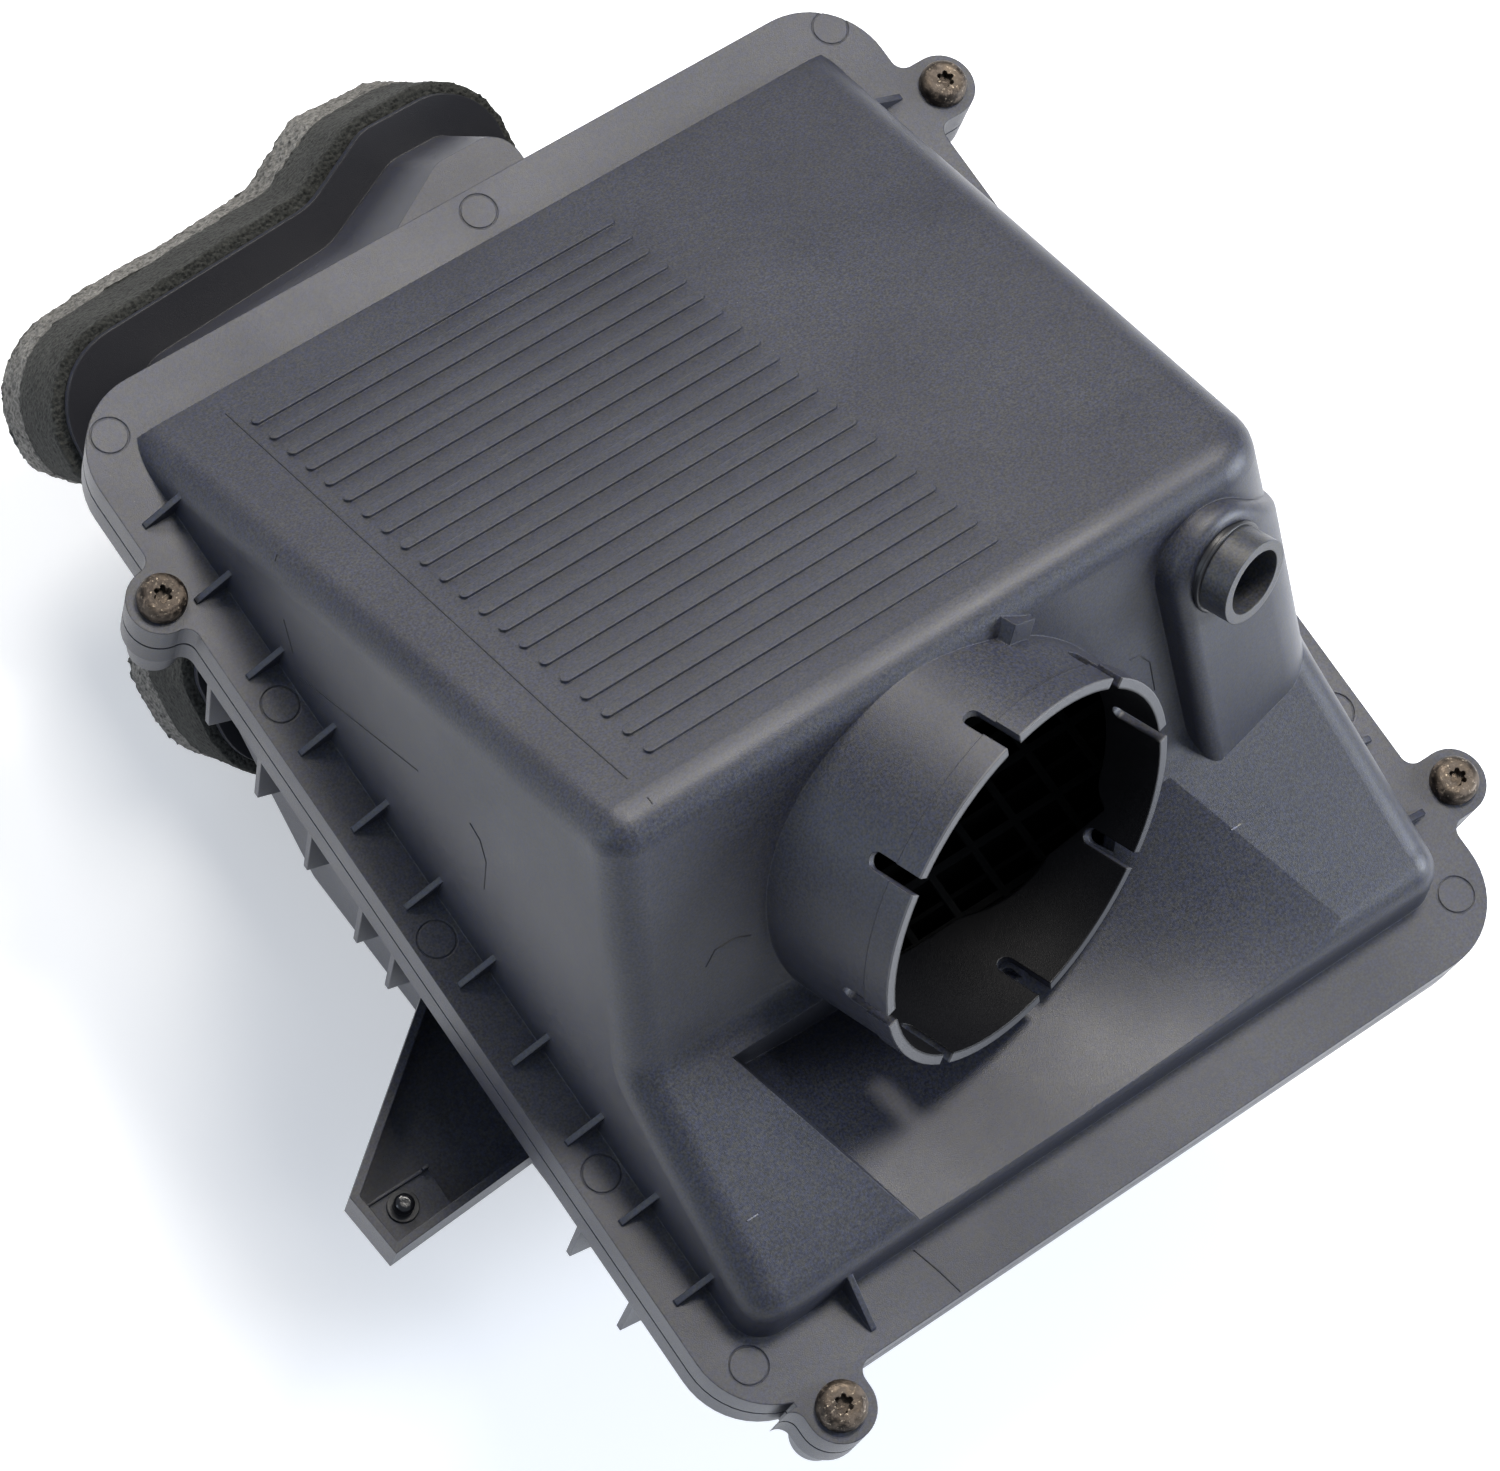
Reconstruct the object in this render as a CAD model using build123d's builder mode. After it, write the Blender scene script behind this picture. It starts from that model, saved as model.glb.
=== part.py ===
from build123d import *

import os
from math import cos, radians, sin, tan

# Air filter housing of a truck engine: tray, lid, panel filter, seals and fasteners.
# Frame: millimetres, +Z up, the outlet duct towards -Y, the mounting ear towards -X.
# The sketches are drawn from the centre of the lid flange's top face, which HOME places.

os.makedirs("parts", exist_ok=True)

# ---------------------------------------------------------------- driving dimensions
HOME = Vector(11.25, -29.56, 166.17)    # centre of the lid flange's top face

FLANGE_X = 270.0                      # lid flange, across
FLANGE_Y = 338.0                      # lid flange, front to back
FLANGE_R = 24.0                       # its corner radius
WALL = 2.5                            # moulded wall of lid and tray
PLATE = 3.0                           # flange plate of lid and tray
LID_RIM = 11.0                        # depth of the lid's rim below the flange face
JOINT_GAP = 1.0                       # groove between the two rims
TRAY_RIM = 22.0                       # depth of the tray rim's lower edge
SEAT = 14.0                           # depth of the seat that holds the filter seal

HOOD_X = 121.0                        # half width of the hood at its foot
HOOD_BACK = 152.5                     # hood foot, back
HOOD_FRONT = -150.0                   # hood foot, front
HOOD_DRAFT = 7.0                      # lean of the hood's side walls, degrees
BACK_STEP = 2.5                       # height of the slope's low end over the flange
CREST = (-34.6, 111.0)                # front top edge of the hood: y, height
WALL_FOOT = (-79.0, 36.0)             # foot of the hood's front wall
SHELF_FALL = 0.286                    # fall of the shelf towards the front
HOOD_ROUND = 10.0                     # radius of the hood's edges
HOOD_CORNER = 18.0                    # radius of the front wall's right corner
HOOD_ROOT = 30.0                      # depth from which the hood's drafted block rises

VALLEY_START = -86.0                  # dent below the duct: where it starts
VALLEY_BACK = -79.0                   # where its depth is given
VALLEY_FRONT = -152.0
VALLEY_LEFT = (-91.7, -64.9)          # its left edge at those two places
VALLEY_RIGHT = (56.0, 87.0)           # its right edge there
VALLEY_DEPTH = (35.0, 1.0)            # depth below the shelf there

BAR_COUNT = 21
BAR_WIDTH = 3.4
BAR_HEIGHT = 0.9
BAR_RIGHT = 30.0
BAR_LEFT_BACK = -92.0
BAR_LEFT_FRONT = -83.0
BAR_FIRST = 19.0                      # first bar's distance up the slope
BAR_PITCH = 8.87

OUTLET = (-4.0, -92.0, 68.1)          # centre of the outlet's rim
OUTLET_AXIS = Vector(0.217, -0.887, 0.408).normalized()
OUTLET_R = 57.2
OUTLET_LENGTH = 78.0
LUG_BACK = 31.5                       # back face of the duct's lug, behind the rim
LUG_TURN = 35.0                       # its place around the duct, from the top
SLOT_COUNT = 8
SLOT_WIDTH = 5.0
SLOT_DEPTH = 16.0

SPIGOT = (85.0, -62.6, 95.0)          # centre of the breather spigot's rim
SPIGOT_R = 12.6
SPIGOT_BORE = 9.6
SPIGOT_NECK_R = 11.0
SPIGOT_OUT = 8.5                      # length of the spigot outside its grommet
GROMMET_R = 13.6                      # breather grommet's collar
BREATHER_HOLE_R = 13.0                # hole in the boss, filled by the grommet's neck
BOSS_FACE = 9.5                       # the boss face lies this far behind the spigot's rim
BOSS_AXIS = Vector(0.15, -0.855, 0.50).normalized()
BOSS_R = 17.5                         # round top of the boss
BOSS_DOWN = 80.0                      # the boss runs this far down
BOSS_RIGHT = 50.0                     # and this far to the right, into the hood's corner
BOSS_BACK = 34.0
BOSS_ROUND = 4.5
SOCKET_DEPTH = 12.0                   # collar inside the boss that holds the grommet

RIB_COUNT = 11
RIB_PITCH = 25.8
RIB_FIRST = 129.5
RIB_THICK = 1.8

TABS = {                              # screw places: x, y
    "left": (-138.0, 108.9),
    "rear": (143.5, 126.3),
    "right": (143.5, -126.0),
    "front": (-109.0, -175.5),
}
TAB_R = 10.0
TAB_FILLET = 4.0                      # hollow corner between tab and flange
HEAD_R = 7.0
HEAD_HEIGHT = 4.6
HEAD_GAP = 0.05                       # the head stands this much off the tab
SHANK_R = 3.0
RUN = 0.05                            # running clearance, radial
SLEEVE_R = 4.6                        # lid bushing, outer radius
INSERT_R = 4.3                        # tray insert, outer radius
INSERT_LENGTH = 13.0
BOSS_DEPTH = 36.0
TIP = 30.0                            # screw tip below the flange face

TRAY_X = 117.5                        # half width of the tray at its rim
TRAY_Y = 151.5                        # half length of the tray at its rim
TRAY_DRAFT = 1.0
FLOOR_LOW = (48.0, -126.5)            # lowest line of the tray's floor: y, height
FLOOR_SLOPE = 12.0                    # the floor rises to the front, degrees

MOUTH = (0.0, 207.0, -46.0)           # a point on the inlet collar's rear face
MOUTH_LEAN = 60.0                     # angle between the mouth's axis and the level, degrees
COLLAR_CORNERS = [                    # collar on the mouth plane: x, distance down, radius
    (-117.0, 8.0, 24.0), (-22.0, 3.0, 22.0), (2.0, -9.0, 14.0), (42.0, -9.0, 20.0),
    (42.0, 147.0, 24.0), (-117.0, 147.0, 20.0), (-117.0, 108.0, 12.0), (-96.0, 88.0, 12.0),
    (-96.0, 60.0, 12.0), (-117.0, 40.0, 8.0),
]
HORN_CORNERS = [                      # outside of the horn, the same way
    (-104.0, 21.0, 14.0), (-22.0, 16.0, 20.0), (6.0, 3.0, 8.0), (29.0, 3.0, 8.0),
    (29.0, 134.0, 12.0), (-83.0, 134.0, 12.0), (-83.0, 60.0, 12.0),
]
COLLAR_THICK = 3.0
HORN_LENGTH = 130.0
TAPE_THICK = 1.0
FOAM_DENSE = 30.0
FOAM_OPEN = 20.0
FOAM_MARGIN = 5.0                     # foam outside the collar's edge

EAR_RIM = -50.0                       # height of the ear pan's rim
EAR_DEPTH = 15.0
EAR_FLOOR = EAR_RIM - EAR_DEPTH       # height of its underside
EAR_OUTLINE = [(-114.5, -3.5), (-176.0, -50.5), (-174.0, -70.5), (-114.5, -67.0)]
STUD = (-163.5, -59.5)                # mounting stud in the ear
STUD_FLOOR = 8.0                      # the stud platform stands this high over the ear's underside
PLATFORM_EDGE = (-151.6, -53.5)       # the platform's inner edges: x, y
STUD_R = 3.0
STUD_NECK_R = 2.6                     # groove in which the rubber grommet sits
STUD_OVER = 5.0                       # the stud stands this far over the platform
STUD_BELOW = 11.0                     # and this far below the ear
EAR_GROMMET_R = 4.6
EAR_HOLE_R = 4.0
EAR_GROMMET_LIP = 0.8                 # the grommet's lip over the platform
EAR_GROMMET_FLANGE = 1.5              # its flange below the ear

PEGS = [(-75.0, -118.0), (75.0, -118.0)]
PEG_R = 6.0
PEG_END = -115.0
ISOLATOR_R = 11.0                     # flange that rests on the bracket
ISOLATOR_FOOT_R = 8.0                 # foot that sits in the bracket's hole
ISOLATOR_FOOT = 8.0
ISOLATOR_HEIGHT = 17.0

SEAL_OUT_X = 128.5                    # half sizes of the filter seal
SEAL_OUT_Y = 162.5
PACK_X = 110.0                        # half sizes of the pleated pack
PACK_Y = 144.0
PACK_TOP = -5.5
PACK_BOTTOM = -54.0
PLEAT_PITCH = 8.0
PAPER = 1.2


# ---------------------------------------------------------------- planes and helpers
def at(x, y, z):
    """A point given from the flange centre."""
    return HOME + Vector(x, y, z)


def level(height):
    """Horizontal plane at a height over the lid flange's top face."""
    return Plane(origin=at(0, 0, height))


def side(x):
    """Upright plane across X; its sketch runs along Y and Z."""
    return Plane(origin=at(x, 0, 0), x_dir=(0, 1, 0), z_dir=(1, 0, 0))


def across(y):
    """Upright plane across Y, seen from the front; its sketch runs along X and Z."""
    return Plane(origin=at(0, y, 0), x_dir=(1, 0, 0), z_dir=(0, -1, 0))


SLOPE_RATE = (CREST[1] - BACK_STEP) / (HOOD_BACK - CREST[0])
SLOPE_NORMAL = Vector(0, SLOPE_RATE, 1.0).normalized()
SLOPE_PLANE = Plane(origin=at(0, HOOD_BACK, BACK_STEP), x_dir=(1, 0, 0), z_dir=SLOPE_NORMAL)
MOUTH_NORMAL = Vector(0, cos(radians(MOUTH_LEAN)), -sin(radians(MOUTH_LEAN)))
OUTLET_SIDE = OUTLET_AXIS.cross(Vector(0, 0, 1)).normalized()
OUTLET_PLANE = Plane(origin=at(*OUTLET), x_dir=OUTLET_SIDE, z_dir=OUTLET_AXIS)
SPIGOT_PLANE = Plane(origin=at(*SPIGOT), x_dir=OUTLET_SIDE, z_dir=OUTLET_AXIS)
BOSS_PLANE = Plane(
    origin=at(*SPIGOT) - OUTLET_AXIS * BOSS_FACE,
    x_dir=BOSS_AXIS.cross(Vector(0, 0, 1)).normalized(), z_dir=BOSS_AXIS,
)


def under(depth):
    """Horizontal plane that faces down, at a depth below the lid flange's top face."""
    return Plane(origin=at(0, 0, -depth), x_dir=(1, 0, 0), z_dir=(0, 0, -1))


def mouth(out):
    """Plane of the inlet collar, moved outwards along the mouth's axis."""
    origin = at(*MOUTH) + MOUTH_NORMAL * out
    return Plane(origin=origin, x_dir=(1, 0, 0), z_dir=MOUTH_NORMAL)


def flange_outline():
    """Flange outline with its four screw tabs, drawn into the open sketch."""
    RectangleRounded(FLANGE_X, FLANGE_Y, FLANGE_R)
    for name, (x, y) in TABS.items():
        with Locations((x, y)):
            Circle(TAB_R)
        if name == "front":
            with Locations((x, y + TAB_R)):
                Rectangle(2 * TAB_R, 2 * TAB_R)
        else:
            with Locations((x - (TAB_R if x > 0 else -TAB_R), y)):
                Rectangle(2 * TAB_R, 2 * TAB_R)


def tab_corners():
    """Hollow corners between the tabs and the flange, drawn into the open sketch."""
    half = TAB_FILLET / 2
    for name, (x, y) in TABS.items():
        for hand in (-1, 1):
            if name == "front":
                corner = (x + hand * (TAB_R + half), -FLANGE_Y / 2 - half)
                centre = (x + hand * (TAB_R + TAB_FILLET), -FLANGE_Y / 2 - TAB_FILLET)
            else:
                away = 1 if x > 0 else -1
                corner = (away * (FLANGE_X / 2 + half), y + hand * (TAB_R + half))
                centre = (away * (FLANGE_X / 2 + TAB_FILLET), y + hand * (TAB_R + TAB_FILLET))
            with Locations(corner):
                Rectangle(TAB_FILLET, TAB_FILLET)
            with Locations(centre):
                Circle(TAB_FILLET, mode=Mode.SUBTRACT)


def rounded_outline(corners):
    """Sketch of a closed outline from (x, y, radius) corners."""
    points = [(x, y) for x, y, radius in corners]
    with BuildSketch(Plane.XY) as outline:
        with BuildLine():
            Polyline(*points, close=True)
        make_face()
        for x, y, radius in corners:
            corner = outline.vertices().sort_by_distance((x, y, 0))[0]
            fillet(corner, radius)
    return outline.sketch


def upright(edge):
    """Whether an edge runs more up and down than sideways."""
    return abs(edge.tangent_at(0.5).Z) > 0.8


def wide_corner(edge):
    """Whether an edge is the right corner of the hood's front wall."""
    return upright(edge) and edge.center().X > HOME.X and edge.center().Z > HOME.Z + 20.0


def hood(inset, bottom):
    """Hood of the lid as a filled solid, moved inwards by an inset."""
    grow = HOOD_ROOT * tan(radians(HOOD_DRAFT))
    with BuildPart() as block:
        with BuildSketch(level(-HOOD_ROOT)):
            with Locations((0, (HOOD_BACK + HOOD_FRONT) / 2)):
                Rectangle(
                    2 * (HOOD_X - inset + grow),
                    HOOD_BACK - HOOD_FRONT - 2 * inset + 2 * grow,
                )
        extrude(amount=150.0, taper=HOOD_DRAFT)
        with BuildSketch(side(-FLANGE_X / 2)):
            with BuildLine():
                Polyline(
                    (HOOD_BACK + 20, -60), (HOOD_BACK + 20, BACK_STEP - 20 * SLOPE_RATE),
                    CREST, WALL_FOOT, (HOOD_FRONT - 20, shelf_height(HOOD_FRONT - 20)),
                    (HOOD_FRONT - 20, -60), close=True,
                )
            make_face()
            if inset > 0:
                offset(amount=-inset, kind=Kind.INTERSECTION)
        extrude(amount=FLANGE_X, mode=Mode.INTERSECT)
        corners = block.edges().filter_by(upright).filter_by(lambda e: e.center().Y < HOME.Y)
        fillet(corners.filter_by(lambda e: not wide_corner(e)), HOOD_ROUND - inset)
        fillet(block.edges().filter_by(wide_corner), HOOD_CORNER - inset)
        edges = block.edges().filter_by(lambda e: e.center().Z > HOME.Z + 4.0)
        fillet(edges.filter_by(lambda e: not upright(e)), HOOD_ROUND - inset)
        split(bisect_by=level(bottom), keep=Keep.TOP)
    return block.part


def shelf_height(y):
    """Height of the shelf in front of the hood's front wall."""
    return WALL_FOOT[1] + SHELF_FALL * (y - WALL_FOOT[0])


def valley_section(y, left, right, depth, grow):
    """Sketch of the dent's cross-section: a steep left flank and a long soft right one."""
    top = shelf_height(y)
    span = right - left
    with BuildSketch(across(y)) as section:
        with BuildLine():
            Bezier(
                (left + 0.3 * depth - grow, top - 0.75 * depth - grow),
                (left + 0.45 * span - grow, top - 1.65 * depth - grow),
                (left + 0.75 * span, top - 0.4 * depth - grow),
                (right, top - grow),
            )
            Polyline(
                (right, top - grow), (right, top + 45.0), (left - grow, top + 45.0),
                (left - grow, top), (left + 0.3 * depth - grow, top - 0.75 * depth - grow),
            )
        make_face()
    return section.sketch


def valley(grow):
    """Dent in the shelf below the duct, grown by a wall."""
    back = valley_section(VALLEY_BACK, VALLEY_LEFT[0], VALLEY_RIGHT[0], VALLEY_DEPTH[0], grow)
    front = valley_section(VALLEY_FRONT, VALLEY_LEFT[1], VALLEY_RIGHT[1], VALLEY_DEPTH[1], grow)
    with BuildPart() as dent:
        add(back)
        add(front)
        loft(ruled=True)
        split(bisect_by=across(VALLEY_START + grow), keep=Keep.TOP)
    return dent.part


def keep(builder, name):
    """Label a finished piece and write it."""
    builder.part.label = name
    export_step(builder.part, f"parts/{name}.step")


def boss_front(face):
    """Whether a face is parallel to the breather boss's front."""
    return face.normal_at().dot(BOSS_AXIS) > 0.999


def breather_boss(inset):
    """Raised boss behind the breather: round at the top, flat to the right, moved inwards."""
    foot = HOOD_X - inset + HOOD_ROOT * tan(radians(HOOD_DRAFT))
    top = foot - 150.0 * tan(radians(HOOD_DRAFT))
    reach = BOSS_R - inset
    tangent = reach * cos(radians(45.0))
    with BuildPart() as boss:
        with BuildSketch(BOSS_PLANE.offset(-inset)):
            Circle(reach)
            with BuildLine():
                Polyline(
                    (-tangent, -tangent), (-BOSS_RIGHT, BOSS_RIGHT - 2 * tangent),
                    (-BOSS_RIGHT, BOSS_DOWN), (reach, BOSS_DOWN), (reach, 0), close=True,
                )
            make_face()
        extrude(amount=-BOSS_BACK)
        with BuildSketch(across(0)):
            with BuildLine():
                Polyline(
                    (0, -HOOD_ROOT), (foot, -HOOD_ROOT), (top, 150.0 - HOOD_ROOT),
                    (0, 150.0 - HOOD_ROOT), close=True,
                )
            make_face()
        extrude(amount=FLANGE_Y / 2, mode=Mode.INTERSECT)
        front = boss.faces().filter_by(boss_front)
        fillet(front.edges().filter_by(upright).sort_by(Axis.X)[-1], HOOD_CORNER - inset)
        if inset == 0:
            front = boss.faces().filter_by(boss_front)
            left = front.edges().filter_by(upright).sort_by(Axis.X)[0]
            fillet(front.edges().filter_by(GeomType.CIRCLE) + [left], BOSS_ROUND)
    return boss.part


def floor_height(y):
    """Height of the underside of the tray's floor, in front of its lowest line."""
    return FLOOR_LOW[1] + (FLOOR_LOW[0] - y) * tan(radians(FLOOR_SLOPE))


def tray_block(inset, top):
    """Tray below its rim as a filled solid, moved inwards by an inset."""
    with BuildPart() as block:
        with BuildSketch(under(-top)):
            RectangleRounded(2 * (TRAY_X - inset), 2 * (TRAY_Y - inset), 18.0 - inset)
        extrude(amount=160.0, taper=TRAY_DRAFT)
        with BuildSketch(side(-FLANGE_X / 2)):
            back_rise = (200.0 - FLOOR_LOW[0]) / tan(radians(MOUTH_LEAN))
            with BuildLine():
                Polyline(
                    FLOOR_LOW, (200.0, FLOOR_LOW[1] + back_rise), (200.0, 60.0),
                    (-200.0, 60.0), (-200.0, floor_height(-200.0)), close=True,
                )
            make_face()
            if inset > 0:
                offset(amount=-inset, kind=Kind.INTERSECTION)
        extrude(amount=FLANGE_X, mode=Mode.INTERSECT)
        low = block.edges().filter_by(lambda e: e.center().Z < HOME.Z - 60.0)
        fillet(low.filter_by(lambda e: abs(e.tangent_at(0.5).Z) < 0.75), 8.0 - inset)
    return block.part


def horn(inset, top):
    """Inlet horn as a filled solid that runs from the collar up into the tray."""
    with BuildPart() as block:
        with BuildSketch(mouth(0)):
            add(HORN_OUTLINE)
            if inset > 0:
                offset(amount=-inset)
        extrude(amount=-HORN_LENGTH)
        split(bisect_by=level(top), keep=Keep.BOTTOM)
    return block.part


def ring_sketch(outer, inner, edge):
    """Rounded rectangular ring, drawn into the open sketch by its two insets."""
    RectangleRounded(FLANGE_X - 2 * outer, FLANGE_Y - 2 * outer, edge - outer)
    RectangleRounded(FLANGE_X - 2 * inner, FLANGE_Y - 2 * inner, edge - inner, mode=Mode.SUBTRACT)


COLLAR_OUTLINE = rounded_outline(COLLAR_CORNERS)
HORN_OUTLINE = rounded_outline(HORN_CORNERS)

# ---------------------------------------------------------------- lid
HOOD_SKIN = hood(0, -PLATE) - valley(0)
HOOD_HOLLOW = hood(WALL, -40.0) - valley(WALL)
BOSS_SKIN = breather_boss(0)
BOSS_HOLLOW = breather_boss(WALL)
WITNESS = [                           # ejector marks on the flange
    (-124.0, 157.0), (2.8, 161.7), (125.5, 158.5), (-127.0, 66.7), (-128.0, -11.4),
    (-127.0, -88.9), (-123.5, -153.0), (127.0, -91.0), (127.0, 66.7), (127.0, -11.4),
    (123.5, -153.0),
]

with BuildPart() as lid_shell:
    with BuildSketch(level(-PLATE)):
        flange_outline()
        tab_corners()
    extrude(amount=PLATE)
    with BuildSketch(level(-LID_RIM)):
        flange_outline()
        tab_corners()
        RectangleRounded(
            FLANGE_X - 2 * WALL, FLANGE_Y - 2 * WALL, FLANGE_R - WALL, mode=Mode.SUBTRACT
        )
    extrude(amount=LID_RIM)
    add(HOOD_SKIN)
    add(BOSS_SKIN)
    # outlet duct with its end band and lug
    with BuildSketch(OUTLET_PLANE):
        Circle(OUTLET_R)
    extrude(amount=-OUTLET_LENGTH)
    with BuildSketch(OUTLET_PLANE):
        Circle(OUTLET_R + 0.6)
    extrude(amount=-8.0)
    with BuildSketch(OUTLET_PLANE.offset(-LUG_BACK)):
        with Locations(Location(
            (-OUTLET_R * sin(radians(LUG_TURN)), -OUTLET_R * cos(radians(LUG_TURN)), 0),
            (0, 0, -LUG_TURN),
        )):
            Rectangle(9.0, 12.0)
    extrude(amount=7.0)
    add(HOOD_HOLLOW, mode=Mode.SUBTRACT)
    add(BOSS_HOLLOW, mode=Mode.SUBTRACT)
    # collar inside the boss that holds the breather grommet
    with BuildSketch(SPIGOT_PLANE.offset(-BOSS_FACE - 2.0)):
        Circle(BREATHER_HOLE_R + 2.0)
    extrude(amount=2.0 - SOCKET_DEPTH)
    with BuildSketch(SPIGOT_PLANE.offset(-BOSS_FACE)):
        Circle(GROMMET_R)
    extrude(amount=BOSS_FACE, mode=Mode.SUBTRACT)
    with BuildSketch(OUTLET_PLANE):
        Circle(OUTLET_R - WALL)
    extrude(amount=-OUTLET_LENGTH, mode=Mode.SUBTRACT)
    for number in range(SLOT_COUNT):
        angle = radians(number * 360.0 / SLOT_COUNT + 43.0)
        outward = OUTLET_PLANE.x_dir * cos(angle) + OUTLET_PLANE.y_dir * sin(angle)
        slot_plane = Plane(
            origin=OUTLET_PLANE.origin + outward * (OUTLET_R - 8.0), x_dir=OUTLET_AXIS, z_dir=outward
        )
        with BuildSketch(slot_plane):
            SlotOverall(2 * SLOT_DEPTH, SLOT_WIDTH)
        extrude(amount=12.0, mode=Mode.SUBTRACT)
    with BuildSketch(SPIGOT_PLANE):
        Circle(BREATHER_HOLE_R)
    extrude(amount=-40.0, mode=Mode.SUBTRACT)
    # raised bars on the slope
    for number in range(BAR_COUNT):
        share = number / (BAR_COUNT - 1)
        left = BAR_LEFT_BACK + (BAR_LEFT_FRONT - BAR_LEFT_BACK) * share
        with BuildSketch(SLOPE_PLANE.offset(-0.5)):
            with Locations(((left + BAR_RIGHT) / 2, -(BAR_FIRST + number * BAR_PITCH))):
                SlotOverall(BAR_RIGHT - left, BAR_WIDTH)
        extrude(amount=0.5 + BAR_HEIGHT)
    # stiffening ribs along both sides, and one at the front
    for number in range(RIB_COUNT):
        with BuildSketch(across(RIB_FIRST - number * RIB_PITCH)):
            for hand in (-1, 1):
                with BuildLine():
                    Polyline(
                        (hand * 130.5, -1.0), (hand * 130.5, 0.8), (hand * 118.5, 9.5),
                        (hand * 118.0, -1.0), close=True,
                    )
                make_face()
        extrude(amount=RIB_THICK / 2, both=True)
    with BuildSketch(side(-89.5)):
        with BuildLine():
            Polyline((-163.5, -1.0), (-163.5, 0.8), (-148.0, 11.0), (-148.0, -1.0), close=True)
        make_face()
    extrude(amount=RIB_THICK / 2, both=True)
    # screw bores and ejector marks
    with BuildSketch(level(1.0)):
        with Locations(*TABS.values()):
            Circle(SLEEVE_R)
    extrude(amount=-LID_RIM - 2.0, mode=Mode.SUBTRACT)
    with BuildSketch(level(0)):
        with Locations(*WITNESS):
            Circle(5.6)
            Circle(5.1, mode=Mode.SUBTRACT)
    extrude(amount=-0.3, mode=Mode.SUBTRACT)
keep(lid_shell, "lid_shell")

with BuildPart() as breather_grommet:
    with BuildSketch(SPIGOT_PLANE.offset(-BOSS_FACE)):
        Circle(GROMMET_R)
    extrude(amount=BOSS_FACE - SPIGOT_OUT)
    with BuildSketch(SPIGOT_PLANE.offset(-BOSS_FACE)):
        Circle(BREATHER_HOLE_R)
    extrude(amount=-SOCKET_DEPTH)
    with BuildSketch(SPIGOT_PLANE):
        Circle(SPIGOT_NECK_R)
    extrude(amount=-BOSS_FACE - SOCKET_DEPTH - 1.0, mode=Mode.SUBTRACT)
    fillet(breather_grommet.edges().filter_by(GeomType.CIRCLE).sort_by(SortBy.RADIUS)[-1], 0.4)
keep(breather_grommet, "breather_grommet")

with BuildPart() as breather_spigot:
    with BuildSketch(SPIGOT_PLANE.offset(-SPIGOT_OUT)):
        Circle(SPIGOT_R)
    extrude(amount=SPIGOT_OUT)
    with BuildSketch(SPIGOT_PLANE.offset(-SPIGOT_OUT)):
        Circle(SPIGOT_NECK_R)
    extrude(amount=-SOCKET_DEPTH)
    with BuildSketch(SPIGOT_PLANE):
        Circle(SPIGOT_BORE)
    extrude(amount=-SPIGOT_OUT - SOCKET_DEPTH, mode=Mode.SUBTRACT)
keep(breather_spigot, "breather_spigot")

with BuildPart() as lid_bushings:
    with BuildSketch(level(-LID_RIM)):
        with Locations(*TABS.values()):
            Circle(SLEEVE_R)
            Circle(SHANK_R + RUN, mode=Mode.SUBTRACT)
    extrude(amount=LID_RIM)
keep(lid_bushings, "lid_bushings")

with BuildPart() as screw_retainers:
    with BuildSketch(level(-LID_RIM - 0.8)):
        with Locations(*TABS.values()):
            Circle(6.0)
            Circle(SHANK_R + RUN, mode=Mode.SUBTRACT)
    extrude(amount=0.8)
keep(screw_retainers, "screw_retainers")

# ---------------------------------------------------------------- screws, one body each
for name, (x, y) in TABS.items():
    with BuildPart() as screw:
        with BuildSketch(level(HEAD_GAP)):
            with Locations((x, y)):
                Circle(HEAD_R)
        extrude(amount=HEAD_HEIGHT)
        fillet(screw.edges().filter_by(GeomType.CIRCLE).sort_by(Axis.Z)[-1], 2.6)
        with BuildSketch(level(HEAD_GAP)):
            with Locations((x, y)):
                Circle(SHANK_R)
        extrude(amount=-TIP)
        chamfer(screw.edges().filter_by(GeomType.CIRCLE).sort_by(Axis.Z)[0], 0.8)
        with BuildSketch(level(HEAD_HEIGHT + HEAD_GAP)):
            with Locations((x, y)):
                Circle(1.9)
                with PolarLocations(1.95, 6):
                    Circle(0.75)
        extrude(amount=-2.6, mode=Mode.SUBTRACT)
        for turn in range(12):
            with BuildSketch(level(-15.5 - turn * 1.1)):
                with Locations((x, y)):
                    Circle(SHANK_R + 0.5)
                    Circle(SHANK_R - 0.35, mode=Mode.SUBTRACT)
            extrude(amount=-0.5, mode=Mode.SUBTRACT)
    keep(screw, f"lid_screw_{name}")

# ---------------------------------------------------------------- tray
TRAY_SKIN = tray_block(0, -SEAT)
TRAY_HOLLOW = tray_block(WALL, -SEAT + 1.0)
HORN_SKIN = horn(0, -SEAT)
HORN_HOLLOW = horn(WALL, -SEAT - PLATE)
GUSSETS = {                           # places along Y, by side
    -1: (90.0, 64.5, 39.0, 13.5, -2.5, -94.0, -119.0),
    1: (90.0, 55.0, 20.0, -15.0, -50.0, -85.0),
}

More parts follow.
